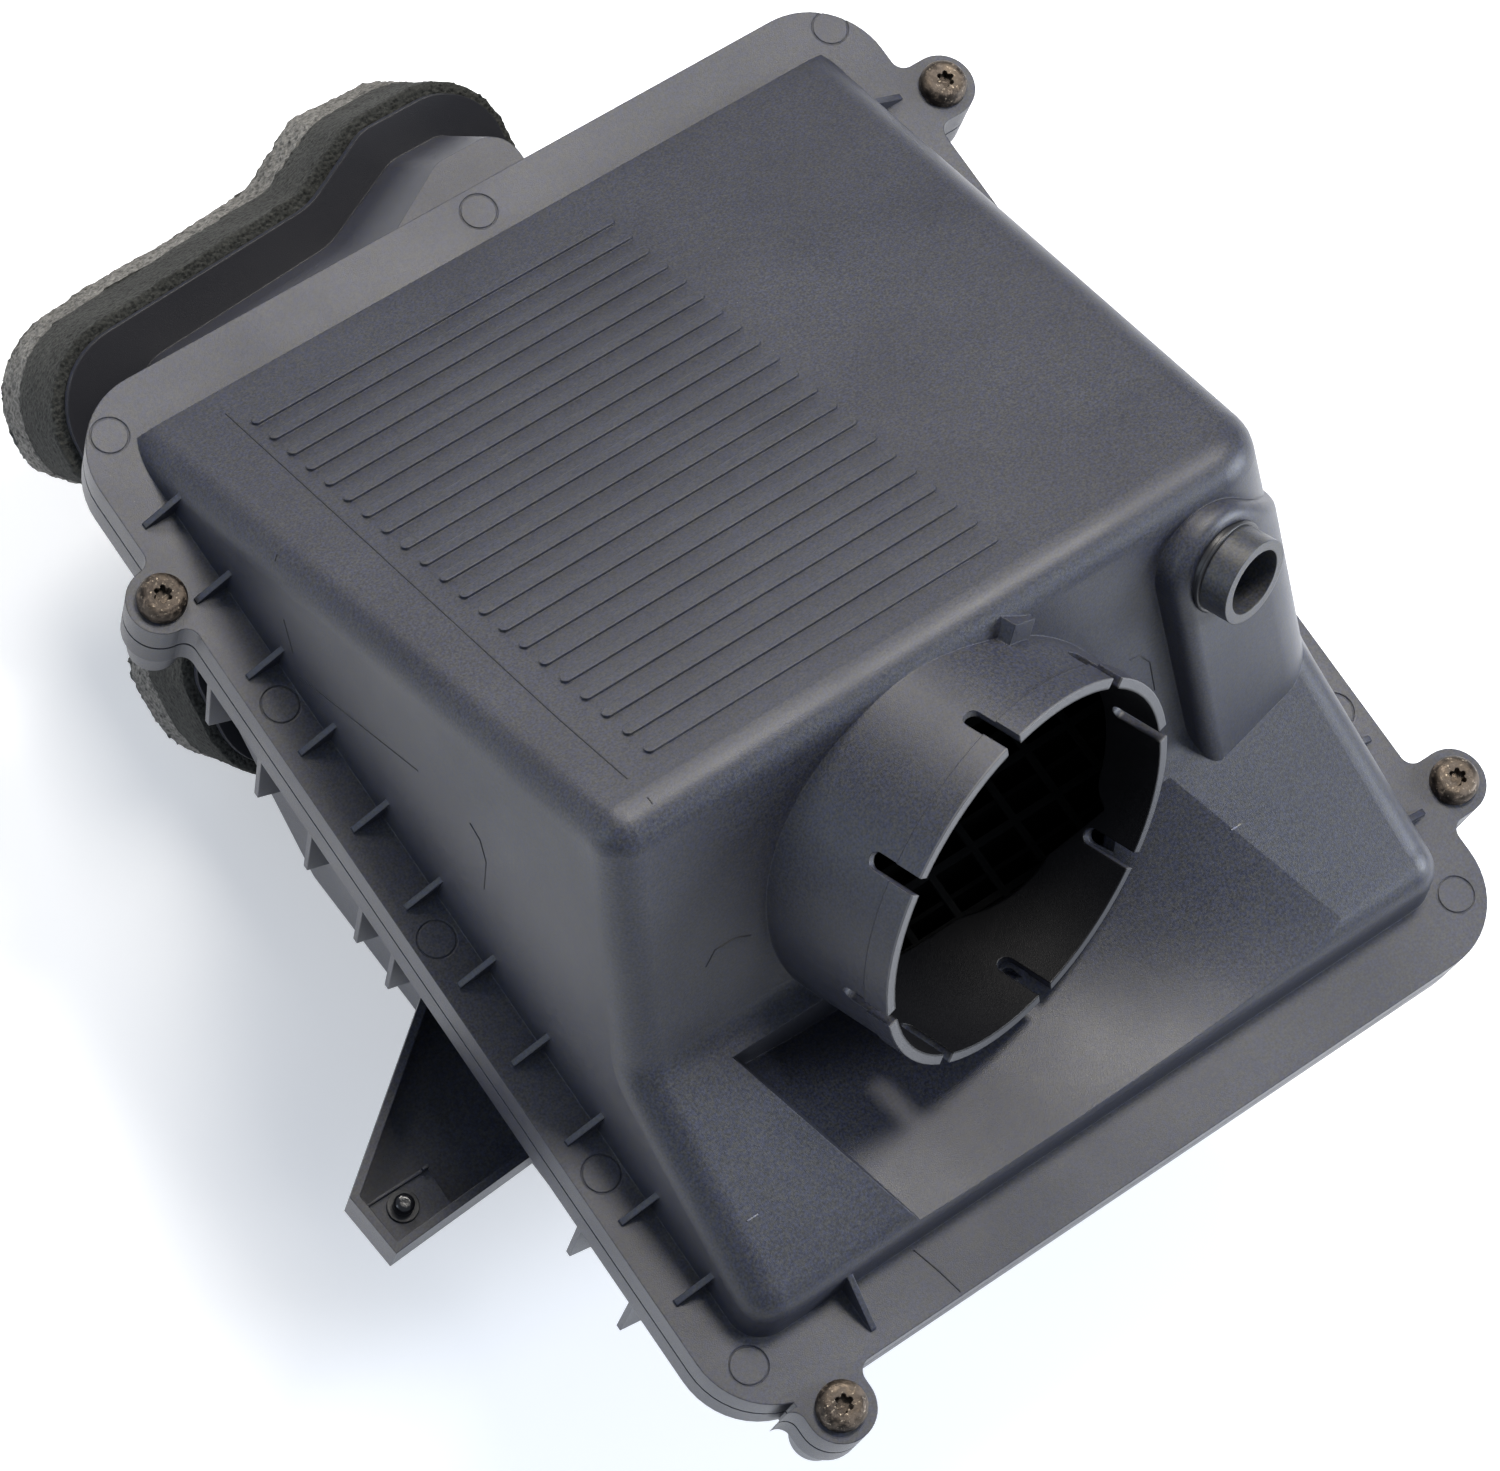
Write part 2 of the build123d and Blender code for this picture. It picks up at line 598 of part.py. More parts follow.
with BuildPart() as tray_shell:
    with BuildSketch(level(-SEAT - PLATE)):
        flange_outline()
        tab_corners()
    extrude(amount=PLATE)
    with BuildSketch(level(-TRAY_RIM)):
        flange_outline()
        tab_corners()
        RectangleRounded(
            FLANGE_X - 2 * WALL, FLANGE_Y - 2 * WALL, FLANGE_R - WALL, mode=Mode.SUBTRACT
        )
    extrude(amount=TRAY_RIM - LID_RIM - JOINT_GAP)
    with BuildSketch(level(-SEAT)):
        ring_sketch(3.3, 5.3, FLANGE_R)
    extrude(amount=SEAT - 6.0)
    add(TRAY_SKIN)
    add(HORN_SKIN)
    with BuildSketch(mouth(0)):
        add(COLLAR_OUTLINE)
    extrude(amount=-COLLAR_THICK)
    add(TRAY_HOLLOW, mode=Mode.SUBTRACT)
    add(HORN_HOLLOW, mode=Mode.SUBTRACT)
    # bosses under the screw tabs
    with BuildSketch(under(TRAY_RIM)):
        with Locations(*[(x, -y) for x, y in TABS.values()]):
            Circle(TAB_R - 0.6)
    extrude(amount=BOSS_DEPTH - TRAY_RIM, taper=8.0)
    with BuildSketch(level(-LID_RIM)):
        with Locations(*TABS.values()):
            Circle(INSERT_R)
    extrude(amount=-JOINT_GAP - INSERT_LENGTH, mode=Mode.SUBTRACT)
    with BuildSketch(level(-LID_RIM)):
        with Locations(*TABS.values()):
            Circle(SHANK_R + 0.4)
    extrude(amount=-22.0, mode=Mode.SUBTRACT)
    # gussets under the rim
    for hand, places in GUSSETS.items():
        for y in places:
            with BuildSketch(across(y)):
                with BuildLine():
                    Polyline(
                        (hand * 133.0, -TRAY_RIM + 4.0), (hand * 129.5, -68.0),
                        (hand * 116.0, -80.5), (hand * 116.0, -TRAY_RIM + 4.0), close=True,
                    )
                make_face()
            extrude(amount=RIB_THICK / 2, both=True)
    # mounting ear: a hollow pan on the left wall with a raised stud platform
    with BuildSketch(level(EAR_FLOOR)):
        with BuildLine():
            Polyline(*EAR_OUTLINE, close=True)
        make_face()
    extrude(amount=EAR_DEPTH)
    with BuildSketch(level(EAR_FLOOR + WALL)):
        with BuildLine():
            Polyline(*EAR_OUTLINE, close=True)
        make_face()
        offset(amount=-WALL, kind=Kind.INTERSECTION)
        with Locations((PLATFORM_EDGE[0] - 20.0, PLATFORM_EDGE[1] - 20.0)):
            Rectangle(40.0, 40.0, mode=Mode.SUBTRACT)
    extrude(amount=EAR_DEPTH, mode=Mode.SUBTRACT)
    with BuildSketch(level(EAR_FLOOR + STUD_FLOOR)):
        with BuildLine():
            Polyline(*EAR_OUTLINE, close=True)
        make_face()
        offset(amount=-WALL, kind=Kind.INTERSECTION)
    extrude(amount=EAR_DEPTH, mode=Mode.SUBTRACT)
    with BuildSketch(across(PLATFORM_EDGE[1])):
        with BuildLine():
            Polyline(
                (-173.5, EAR_FLOOR + 1.0), (-173.5, EAR_FLOOR + STUD_FLOOR + 0.8),
                (PLATFORM_EDGE[0] - 2.0, EAR_FLOOR + STUD_FLOOR + 0.8),
                (PLATFORM_EDGE[0] - 2.0, EAR_FLOOR + STUD_FLOOR + 3.0),
                (PLATFORM_EDGE[0], EAR_FLOOR + STUD_FLOOR + 3.0),
                (PLATFORM_EDGE[0], EAR_FLOOR + 1.0), close=True,
            )
        make_face()
    extrude(amount=0.9)
    with BuildSketch(level(EAR_RIM)):
        with Locations(STUD):
            Circle(EAR_HOLE_R)
    extrude(amount=-EAR_DEPTH - 1.0, mode=Mode.SUBTRACT)
    # pegs under the floor that carry the base isolators
    with BuildSketch(level(PEG_END)):
        with Locations(*PEGS):
            Circle(PEG_R)
    extrude(amount=floor_height(PEGS[0][1]) + WALL / 2 - PEG_END)
keep(tray_shell, "tray_shell")

with BuildPart() as threaded_inserts:
    with BuildSketch(level(-LID_RIM - JOINT_GAP - INSERT_LENGTH)):
        with Locations(*TABS.values()):
            Circle(INSERT_R)
            Circle(SHANK_R + RUN, mode=Mode.SUBTRACT)
    extrude(amount=INSERT_LENGTH)
keep(threaded_inserts, "threaded_inserts")

with BuildPart() as base_isolators:
    for x, y in PEGS:
        with BuildSketch(level(PEG_END - 1.0)):
            with Locations((x, y)):
                Circle(ISOLATOR_FOOT_R)
        extrude(amount=ISOLATOR_HEIGHT)
        with BuildSketch(level(PEG_END - 1.0 + ISOLATOR_FOOT)):
            with Locations((x, y)):
                Circle(ISOLATOR_R)
        extrude(amount=ISOLATOR_HEIGHT - ISOLATOR_FOOT)
        with BuildSketch(level(PEG_END)):
            with Locations((x, y)):
                Circle(PEG_R)
        extrude(amount=ISOLATOR_HEIGHT, mode=Mode.SUBTRACT)
    chamfer(base_isolators.edges().group_by(Axis.Z)[0], 0.8)
keep(base_isolators, "base_isolators")

with BuildPart() as ear_grommet:
    with BuildSketch(level(EAR_FLOOR - EAR_GROMMET_FLANGE)):
        with Locations(STUD):
            Circle(EAR_HOLE_R + 2.5)
    extrude(amount=EAR_GROMMET_FLANGE)
    with BuildSketch(level(EAR_FLOOR)):
        with Locations(STUD):
            Circle(EAR_HOLE_R)
    extrude(amount=STUD_FLOOR)
    with BuildSketch(level(EAR_FLOOR + STUD_FLOOR)):
        with Locations(STUD):
            Circle(EAR_GROMMET_R)
    extrude(amount=EAR_GROMMET_LIP)
    with BuildSketch(level(EAR_FLOOR - EAR_GROMMET_FLANGE)):
        with Locations(STUD):
            Circle(STUD_NECK_R)
    extrude(amount=EAR_DEPTH, mode=Mode.SUBTRACT)
keep(ear_grommet, "ear_grommet")

with BuildPart() as ear_stud:
    with BuildSketch(level(EAR_FLOOR - STUD_BELOW)):
        with Locations(STUD):
            Circle(STUD_R)
    extrude(amount=STUD_BELOW + STUD_FLOOR + STUD_OVER)
    fillet(ear_stud.edges().group_by(Axis.Z)[-1], 1.6)
    chamfer(ear_stud.edges().group_by(Axis.Z)[0], 0.8)
    with BuildSketch(level(EAR_FLOOR - EAR_GROMMET_FLANGE)):
        with Locations(STUD):
            Circle(STUD_R + 1.0)
            Circle(STUD_NECK_R, mode=Mode.SUBTRACT)
    extrude(amount=EAR_GROMMET_FLANGE + STUD_FLOOR + EAR_GROMMET_LIP, mode=Mode.SUBTRACT)
    with BuildSketch(level(EAR_FLOOR + STUD_FLOOR + 1.4)):
        with Locations(STUD):
            Circle(STUD_R + 1.0)
            Circle(STUD_R - 0.8, mode=Mode.SUBTRACT)
    extrude(amount=1.2, mode=Mode.SUBTRACT)
keep(ear_stud, "ear_stud")

# ---------------------------------------------------------------- inlet seal
SEAL_OUTER = offset(COLLAR_OUTLINE, amount=FOAM_MARGIN)
SEAL_INNER = offset(HORN_OUTLINE, amount=-WALL)
SEAL_TAPE = offset(COLLAR_OUTLINE, amount=-1.0)
SEAL_LAYERS = (
    ("seal_tape", SEAL_TAPE, 0.0, TAPE_THICK),
    ("inlet_seal_dense", SEAL_OUTER, TAPE_THICK, FOAM_DENSE),
    ("inlet_seal_open", SEAL_OUTER, TAPE_THICK + FOAM_DENSE, FOAM_OPEN),
)
for name, outline, start, thickness in SEAL_LAYERS:
    with BuildPart() as layer:
        with BuildSketch(mouth(start)):
            add(outline)
            add(SEAL_INNER, mode=Mode.SUBTRACT)
        extrude(amount=thickness)
    keep(layer, name)

# ---------------------------------------------------------------- panel filter
with BuildPart() as filter_seal:
    with BuildSketch(level(-SEAT)):
        RectangleRounded(2 * SEAL_OUT_X, 2 * SEAL_OUT_Y, 17.0)
        Rectangle(2 * PACK_X, 2 * PACK_Y, mode=Mode.SUBTRACT)
    extrude(amount=SEAT - PLATE)
    fillet(filter_seal.edges().filter_by(Axis.Z, reverse=True).filter_by(
        lambda e: abs(e.center().X - HOME.X) > PACK_X + 3 or abs(e.center().Y - HOME.Y) > PACK_Y + 3
    ), 2.0)
keep(filter_seal, "filter_seal")

PLEATS = int(2 * (PACK_Y - 2.0) / PLEAT_PITCH)
PLEAT_START = -PLEATS * PLEAT_PITCH / 2
with BuildPart() as filter_pleats:
    with BuildSketch(side(-PACK_X)):
        for number in range(2 * PLEATS):
            near = PLEAT_START + number * PLEAT_PITCH / 2
            far = near + PLEAT_PITCH / 2
            near_z = PACK_TOP if number % 2 == 0 else PACK_BOTTOM
            far_z = PACK_BOTTOM if number % 2 == 0 else PACK_TOP
            with BuildLine():
                Polyline(
                    (near - PAPER / 2, near_z), (near + PAPER / 2, near_z),
                    (far + PAPER / 2, far_z), (far - PAPER / 2, far_z), close=True,
                )
            make_face()
    extrude(amount=2 * PACK_X)
keep(filter_pleats, "filter_pleats")

with BuildPart() as filter_screen:
    with BuildSketch(level(PACK_TOP)):
        Rectangle(2 * PACK_X, 2 * PACK_Y)
        with GridLocations(15.0, 15.0, 14, 19):
            Rectangle(12.8, 12.8, mode=Mode.SUBTRACT)
    extrude(amount=1.2)
keep(filter_screen, "filter_screen")
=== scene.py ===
import bpy
from mathutils import Matrix, Vector, noise
from mathutils.bvhtree import BVHTree


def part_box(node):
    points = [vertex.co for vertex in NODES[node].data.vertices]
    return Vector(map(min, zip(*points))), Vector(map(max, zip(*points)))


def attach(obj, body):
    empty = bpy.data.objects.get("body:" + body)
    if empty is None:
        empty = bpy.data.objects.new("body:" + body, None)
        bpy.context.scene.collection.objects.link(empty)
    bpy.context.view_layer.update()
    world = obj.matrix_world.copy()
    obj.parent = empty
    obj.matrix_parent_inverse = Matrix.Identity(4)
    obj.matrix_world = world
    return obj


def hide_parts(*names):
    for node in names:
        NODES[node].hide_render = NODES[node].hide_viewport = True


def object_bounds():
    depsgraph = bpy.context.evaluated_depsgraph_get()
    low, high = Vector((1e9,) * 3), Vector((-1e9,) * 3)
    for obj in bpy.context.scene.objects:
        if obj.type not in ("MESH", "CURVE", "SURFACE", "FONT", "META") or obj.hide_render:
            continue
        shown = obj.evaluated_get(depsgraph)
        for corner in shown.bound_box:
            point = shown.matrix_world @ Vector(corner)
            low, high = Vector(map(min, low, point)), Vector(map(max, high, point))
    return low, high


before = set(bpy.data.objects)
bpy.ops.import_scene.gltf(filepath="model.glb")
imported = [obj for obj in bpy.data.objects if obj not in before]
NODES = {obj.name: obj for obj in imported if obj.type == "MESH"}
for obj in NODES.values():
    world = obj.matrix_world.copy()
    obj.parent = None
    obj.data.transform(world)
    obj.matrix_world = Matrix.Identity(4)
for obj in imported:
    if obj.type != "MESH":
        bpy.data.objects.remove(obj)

# Air filter housing: moulded plastic tray and lid, foam-sealed inlet, round outlet duct.
# Everything is in metres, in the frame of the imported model.

CAD_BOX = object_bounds()

SEAL_LOW, SEAL_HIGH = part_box("filter_seal")
FLANGE_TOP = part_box("lid_bushings")[1].z
FLANGE = Vector(((SEAL_LOW.x + SEAL_HIGH.x) / 2, (SEAL_LOW.y + SEAL_HIGH.y) / 2, FLANGE_TOP))
OUTLET = FLANGE + Vector((-0.004, -0.092, 0.0681))    # centre of the duct's rim
OUTLET_AXIS = Vector((0.217, -0.887, 0.408)).normalized()
DUCT_BORE = 0.0549                                    # just outside the duct's inner wall; the painted shade inside the duct reaches this far
DUCT_OUTSIDE = 0.060                                  # just outside the duct
DUCT_REACH = (0.087, 0.097)                           # behind the rim: where its painted shade fades out
FACE_REACH = 0.0004                                   # half thickness of an end face given painted light: the rim's highlight and the collar's shade
MOUTH_AXIS = Vector((0.0, 0.5, -0.866)).normalized()
# back face of the inlet's collar, which is given painted shade
COLLAR_BACK = FLANGE + Vector((0.0, 0.207, -0.046)) - 0.003 * MOUTH_AXIS


# ------------------------------------------------------------------ camera, floor and light
CAMERA_LENS = 118.2
CAMERA_PLACE = Vector((-0.4716, -0.2499, 1.2618))     # from the flange's centre
CAMERA_RIGHT = Vector((0.8044, -0.5666, 0.1787))
CAMERA_UP = Vector((0.4935, 0.8047, 0.3300))
FLOOR_REACH = 6.0
FLOOR_GAP = 0.0015                                    # the floor lies this far below the object


def make_camera():
    data = bpy.data.cameras.new("camera")
    data.sensor_width = 36.0
    data.lens = CAMERA_LENS
    data.clip_start = 0.05
    data.clip_end = 20.0
    camera = bpy.data.objects.new("camera", data)
    back = CAMERA_RIGHT.cross(CAMERA_UP).normalized()
    turn = Matrix((CAMERA_RIGHT.normalized(), back.cross(CAMERA_RIGHT).normalized(), back)).transposed()
    camera.matrix_world = Matrix.Translation(FLANGE + CAMERA_PLACE) @ turn.to_4x4()
    bpy.context.scene.collection.objects.link(camera)
    bpy.context.scene.camera = camera


def area_light(name, place, size, power, colour):
    """Soft square light at a place from the flange's centre, aimed at it."""
    data = bpy.data.lights.new(name, "AREA")
    data.shape = "SQUARE"
    data.size = size
    data.energy = power
    data.color = colour
    light = bpy.data.objects.new(name, data)
    light.location = FLANGE + Vector(place)
    light.rotation_mode = "QUATERNION"
    light.rotation_quaternion = Vector(place).to_track_quat("Z", "Y")
    bpy.context.scene.collection.objects.link(light)


def make_stage():
    world = bpy.data.worlds.new("studio")
    world.use_nodes = True
    background = world.node_tree.nodes["Background"]
    background.inputs["Color"].default_value = (0.74, 0.84, 1.0, 1.0)
    background.inputs["Strength"].default_value = 0.42
    bpy.context.scene.world = world
    area_light("key", (0.2, 1.2, 1.2), 0.5, 16.0, (1.0, 0.95, 0.88))
    area_light("top", (0.5, 0.3, 1.45), 0.4, 20.0, (1.0, 0.96, 0.9))
    area_light("left", (-1.3, 0.3, 0.6), 0.5, 3.6, (0.72, 0.84, 1.0))
    area_light("right", (1.3, -0.9, 0.7), 0.5, 31.0, (0.85, 0.91, 1.0))
    mesh = bpy.data.meshes.new("floor")
    corners = [(x * FLOOR_REACH, y * FLOOR_REACH, 0) for x, y in ((-1, -1), (1, -1), (1, 1), (-1, 1))]
    mesh.from_pydata(corners, [], [(0, 1, 2, 3)])
    floor = bpy.data.objects.new("floor", mesh)
    floor.location.z = CAD_BOX[0].z - FLOOR_GAP
    bpy.context.scene.collection.objects.link(floor)
    paper = Shader("floor_paper")
    paper.set(Roughness=0.8, Emission_Color=(1.0, 1.0, 1.0, 1.0), Emission_Strength=0.35)
    tone = paper.noise(3.0, detail=2.0)
    paper.colour(tone, [(0.3, (0.86, 0.86, 0.87)), (0.7, (0.9, 0.9, 0.9))])
    mesh.materials.append(paper.material)
    bpy.context.scene.view_settings.view_transform = "Standard"


# ------------------------------------------------------------------ shader helpers
class Shader:
    """A material with one Principled surface, and short ways to add nodes to it."""

    def __init__(self, name):
        self.material = bpy.data.materials.new(name)
        self.material.use_nodes = True
        self.tree = self.material.node_tree
        self.tree.nodes.clear()
        self.surface = self.tree.nodes.new("ShaderNodeBsdfPrincipled")
        output = self.tree.nodes.new("ShaderNodeOutputMaterial")
        self.link(self.surface.outputs["BSDF"], output.inputs["Surface"])
        self.place = self.tree.nodes.new("ShaderNodeTexCoord").outputs["Object"]

    def link(self, source, target):
        self.tree.links.new(source, target)

    def set(self, **values):
        """Uniform values, set on the surface's own sockets."""
        for name, value in values.items():
            self.surface.inputs[name.replace("_", " ")].default_value = value

    def noise(self, scale, detail=3.0, roughness=0.5, stretch=None):
        """Noise in 1/metre; stretch scales the place per axis."""
        node = self.tree.nodes.new("ShaderNodeTexNoise")
        node.inputs["Scale"].default_value = scale
        node.inputs["Detail"].default_value = detail
        node.inputs["Roughness"].default_value = roughness
        place = self.place
        if stretch:
            mapping = self.tree.nodes.new("ShaderNodeMapping")
            mapping.inputs["Scale"].default_value = stretch
            self.link(place, mapping.inputs["Vector"])
            place = mapping.outputs["Vector"]
        self.link(place, node.inputs["Vector"])
        return node.outputs["Fac"]

    def cells(self, scale):
        """Distance to the nearest of randomly placed cell centres."""
        node = self.tree.nodes.new("ShaderNodeTexVoronoi")
        node.inputs["Scale"].default_value = scale
        self.link(self.place, node.inputs["Vector"])
        return node.outputs["Distance"]

    def span(self, value, low, high, to_low=0.0, to_high=1.0):
        """Value mapped from one range to another, clamped."""
        node = self.tree.nodes.new("ShaderNodeMapRange")
        node.inputs["From Min"].default_value = low
        node.inputs["From Max"].default_value = high
        node.inputs["To Min"].default_value = to_low
        node.inputs["To Max"].default_value = to_high
        self.link(value, node.inputs["Value"])
        return node.outputs["Result"]

    def ramp(self, value, stops):
        node = self.tree.nodes.new("ShaderNodeValToRGB")
        elements = node.color_ramp.elements
        while len(elements) < len(stops):
            elements.new(0.5)
        for element, (place, colour) in zip(elements, stops):
            element.position = place
            element.color = (*colour, 1.0)
        self.link(value, node.inputs["Fac"])
        return node.outputs["Color"]

    def mix(self, share, first, second, blend="MIX"):
        """Colour mix; first and second are sockets or colours."""
        node = self.tree.nodes.new("ShaderNodeMix")
        node.data_type = "RGBA"
        node.blend_type = blend
        for name, value in (("Factor", share), ("A", first), ("B", second)):
            kind = "NodeSocketFloat" if name == "Factor" else "NodeSocketColor"
            socket = next(s for s in node.inputs if s.name == name and s.bl_idname.startswith(kind))
            if isinstance(value, bpy.types.NodeSocket):
                self.link(value, socket)
            elif name == "Factor":
                socket.default_value = value
            else:
                socket.default_value = (*value, 1.0)
        return next(s for s in node.outputs if s.bl_idname.startswith("NodeSocketColor"))

    def math(self, operation, first, second=0.0):
        node = self.tree.nodes.new("ShaderNodeMath")
        node.operation = operation
        for socket, value in zip(node.inputs, (first, second)):
            if isinstance(value, bpy.types.NodeSocket):
                self.link(value, socket)
            else:
                socket.default_value = value
        return node.outputs["Value"]

    def grey(self, value):
        """Colour whose three channels are one value."""
        node = self.tree.nodes.new("ShaderNodeCombineColor")
        for name in ("Red", "Green", "Blue"):
            self.link(value, node.inputs[name])
        return node.outputs["Color"]

    def rounded(self, radius, samples=6):
        """Normal that rounds sharp edges off by a radius."""
        node = self.tree.nodes.new("ShaderNodeBevel")
        node.samples = samples
        node.inputs["Radius"].default_value = radius
        return node.outputs["Normal"]

    def vector(self, operation, first, second):
        """Vector operation on two sockets or vectors."""
        node = self.tree.nodes.new("ShaderNodeVectorMath")
        node.operation = operation
        for socket, value in zip(node.inputs, (first, second)):
            if isinstance(value, bpy.types.NodeSocket):
                self.link(value, socket)
            else:
                socket.default_value = value
        return node.outputs["Value" if operation in ("DOT_PRODUCT", "LENGTH") else "Vector"]

    def near_plane(self, origin, axis, reach):
        """1 on surfaces within reach of a plane, 0 elsewhere."""
        along = self.vector("DOT_PRODUCT", self.vector("SUBTRACT", self.place, origin), axis)
        return self.span(self.math("ABSOLUTE", along), reach, 1.6 * reach, 1.0, 0.0)

    def near_duct_axis(self, reach):
        """1 on surfaces within reach of the duct's axis, 0 elsewhere."""
        offset = self.vector("SUBTRACT", self.place, OUTLET)
        across = self.vector("LENGTH", self.vector("CROSS_PRODUCT", offset, OUTLET_AXIS), (0, 0, 0))
        return self.span(across, reach, reach + 0.0005, 1.0, 0.0)

    def behind_rim(self):
        """1 on surfaces up to about the duct's length behind its rim, 0 further back."""
        along = self.vector("DOT_PRODUCT", self.vector("SUBTRACT", self.place, OUTLET), OUTLET_AXIS)
        return self.span(along, -DUCT_REACH[1], -DUCT_REACH[0])

    def bump(self, height, distance, strength=1.0, normal=None):
        node = self.tree.nodes.new("ShaderNodeBump")
        node.inputs["Distance"].default_value = distance
        node.inputs["Strength"].default_value = strength
        self.link(height, node.inputs["Height"])
        if normal:
            self.link(normal, node.inputs["Normal"])
        return node.outputs["Normal"]

    def colour(self, value, stops):
        self.link(self.ramp(value, stops), self.surface.inputs["Base Color"])

    def wire(self, name, socket):
        self.link(socket, self.surface.inputs[name])


# ------------------------------------------------------------------ materials
def moulded_plastic(name, dark, light, shine, grain):
    """Grained moulded plastic: soft mottling, fine grain, dust specks and light scuffs, with a painted
    highlight on the duct's rim face, painted shade on the inlet collar's back face and painted shade
    inside the duct.
    """
    s = Shader(name)
    s.set(IOR=1.48)
    mottle = s.noise(14.0, detail=5.0, roughness=0.6)
    base = s.ramp(mottle, [(0.3, dark), (0.72, light)])
    speckle = s.noise(1500.0, detail=2.0)
    tone = s.span(speckle, 0.3, 0.7, 0.55, 1.45)
    shade = s.mix(1.0, base, s.grey(tone), "MULTIPLY")
    grains = s.noise(900.0, detail=1.0)
    tint = s.ramp(grains, [(0.38, (0.86, 0.9, 1.18)), (0.62, (1.12, 1.06, 0.86))])
    shade = s.mix(1.0, shade, tint, "MULTIPLY")
    scuff = s.noise(60.0, detail=8.0, roughness=0.75, stretch=(1.0, 0.12, 1.0))
    scuffed = s.span(scuff, 0.66, 0.78, 0.0, 0.35)
    worn = s.mix(scuffed, shade, tuple(1.9 * c for c in light))
    dust = s.span(s.cells(230.0), 0.0, 0.045, 1.0, 0.0)
    rare = s.span(s.noise(33.0, detail=1.0), 0.62, 0.68)
    specks = s.math("MULTIPLY", dust, rare)
    dusty = s.mix(specks, worn, (0.22, 0.21, 0.19))
    # painted highlight: the duct rim's end face is coloured lighter than the plastic
    rim = s.math("MULTIPLY", s.near_plane(OUTLET, OUTLET_AXIS, FACE_REACH), s.near_duct_axis(DUCT_OUTSIDE))
    rim_painted_highlight = s.mix(rim, dusty, (0.09, 0.09, 0.095))
    # painted shade: the inlet collar's back face is coloured near black
    shaded = s.mix(s.near_plane(COLLAR_BACK, MOUTH_AXIS, FACE_REACH), rim_painted_highlight, (0.006, 0.006, 0.009))
    # painted shade: the duct's inside, up to about its length behind the rim, is coloured near black
    duct = s.math("MULTIPLY", s.near_duct_axis(DUCT_BORE), s.behind_rim())
    s.wire("Base Color", s.mix(duct, shaded, (0.003, 0.003, 0.004)))
    patches = s.noise(22.0, detail=4.0)
    gloss = s.span(patches, 0.3, 0.7, shine - 0.05, shine + 0.07)
    s.wire("Roughness", s.math("ADD", gloss, s.span(speckle, 0.3, 0.7, -0.04, 0.04)))
    fine = s.noise(grain, detail=3.0, roughness=0.6)
    ripple = s.noise(35.0, detail=2.0)
    soft = s.bump(ripple, 0.0006, 0.25, s.rounded(0.0005))
    s.wire("Normal", s.bump(fine, 0.00012, 0.6, soft))
    return s.material


def smooth_rubber(name, colour, shine):
    s = Shader(name)
    s.set(IOR=1.5)
    mottle = s.noise(90.0, detail=4.0)
    s.colour(mottle, [(0.3, tuple(0.7 * c for c in colour)), (0.75, tuple(1.35 * c for c in colour))])
    s.wire("Roughness", s.span(s.noise(160.0), 0.3, 0.7, shine - 0.06, shine + 0.08))
    s.wire("Normal", s.bump(s.noise(900.0), 0.00008, 0.4, s.rounded(0.0005)))
    return s.material


def worn_metal(name, colour, tarnish, shine):
    """Plated metal with darker tarnish, fine grain and rubbed bright spots."""
    s = Shader(name)
    s.set(Metallic=1.0)
    stain = s.noise(260.0, detail=5.0, roughness=0.65)
    base = s.ramp(stain, [(0.35, tarnish), (0.62, colour)])
    rubbed = s.span(s.noise(1400.0, detail=3.0), 0.62, 0.74, 0.0, 0.6)
    s.wire("Base Color", s.mix(rubbed, base, tuple(min(1.0, 1.7 * c) for c in colour)))
    s.wire("Roughness", s.span(s.noise(420.0, detail=4.0), 0.3, 0.7, shine - 0.1, shine + 0.14))
    s.wire("Normal", s.bump(s.noise(2200.0), 0.00006, 0.5, s.rounded(0.0004)))
    return s.material


def rusty_screw(name):
    """Dark bronze plating with tan rust patches and rubbed bright spots."""
    s = Shader(name)
    stain = s.noise(330.0, detail=6.0, roughness=0.7)
    patches = s.noise(150.0, detail=3.0)
    plated = s.ramp(patches, [(0.35, (0.03, 0.024, 0.020)), (0.7, (0.10, 0.078, 0.058))])
    rusted = s.span(stain, 0.50, 0.60)
    shade = s.mix(rusted, plated, (0.10, 0.075, 0.055))
    rubbed = s.span(s.noise(1100.0, detail=3.0), 0.62, 0.72, 0.0, 0.6)
    s.wire("Base Color", s.mix(rubbed, shade, (0.5, 0.42, 0.32)))
    s.wire("Metallic", s.span(stain, 0.48, 0.62, 0.85, 0.1))
    s.wire("Roughness", s.span(stain, 0.4, 0.62, 0.38, 0.75))
    s.wire("Normal", s.bump(s.noise(1600.0, detail=4.0), 0.00012, 0.7, s.rounded(0.0004)))
    return s.material


def filter_paper(name):
    s = Shader(name)
    fibre = s.noise(900.0, detail=6.0, roughness=0.7, stretch=(0.25, 1.0, 1.0))
    s.colour(fibre, [(0.3, (0.005, 0.005, 0.005)), (0.7, (0.012, 0.011, 0.010))])
    s.set(Roughness=0.9, Specular_IOR_Level=0.1)
    s.wire("Normal", s.bump(fibre, 0.0002, 0.6))
    return s.material


def adhesive(name):
    """Dark adhesive film with pale patches where its backing shows."""
    s = Shader(name)
    patches = s.span(s.noise(26.0, detail=3.0), 0.54, 0.58)
    streak = s.noise(500.0, detail=4.0)
    dark = s.ramp(streak, [(0.3, (0.035, 0.036, 0.036)), (0.7, (0.09, 0.09, 0.085))])
    pale = s.ramp(streak, [(0.3, (0.42, 0.38, 0.2)), (0.7, (0.66, 0.62, 0.42))])
    s.wire("Base Color", s.mix(patches, dark, pale))
    s.wire("Roughness", s.span(streak, 0.3, 0.7, 0.35, 0.6))
    s.wire("Normal", s.bump(streak, 0.0003, 0.7))
    return s.material


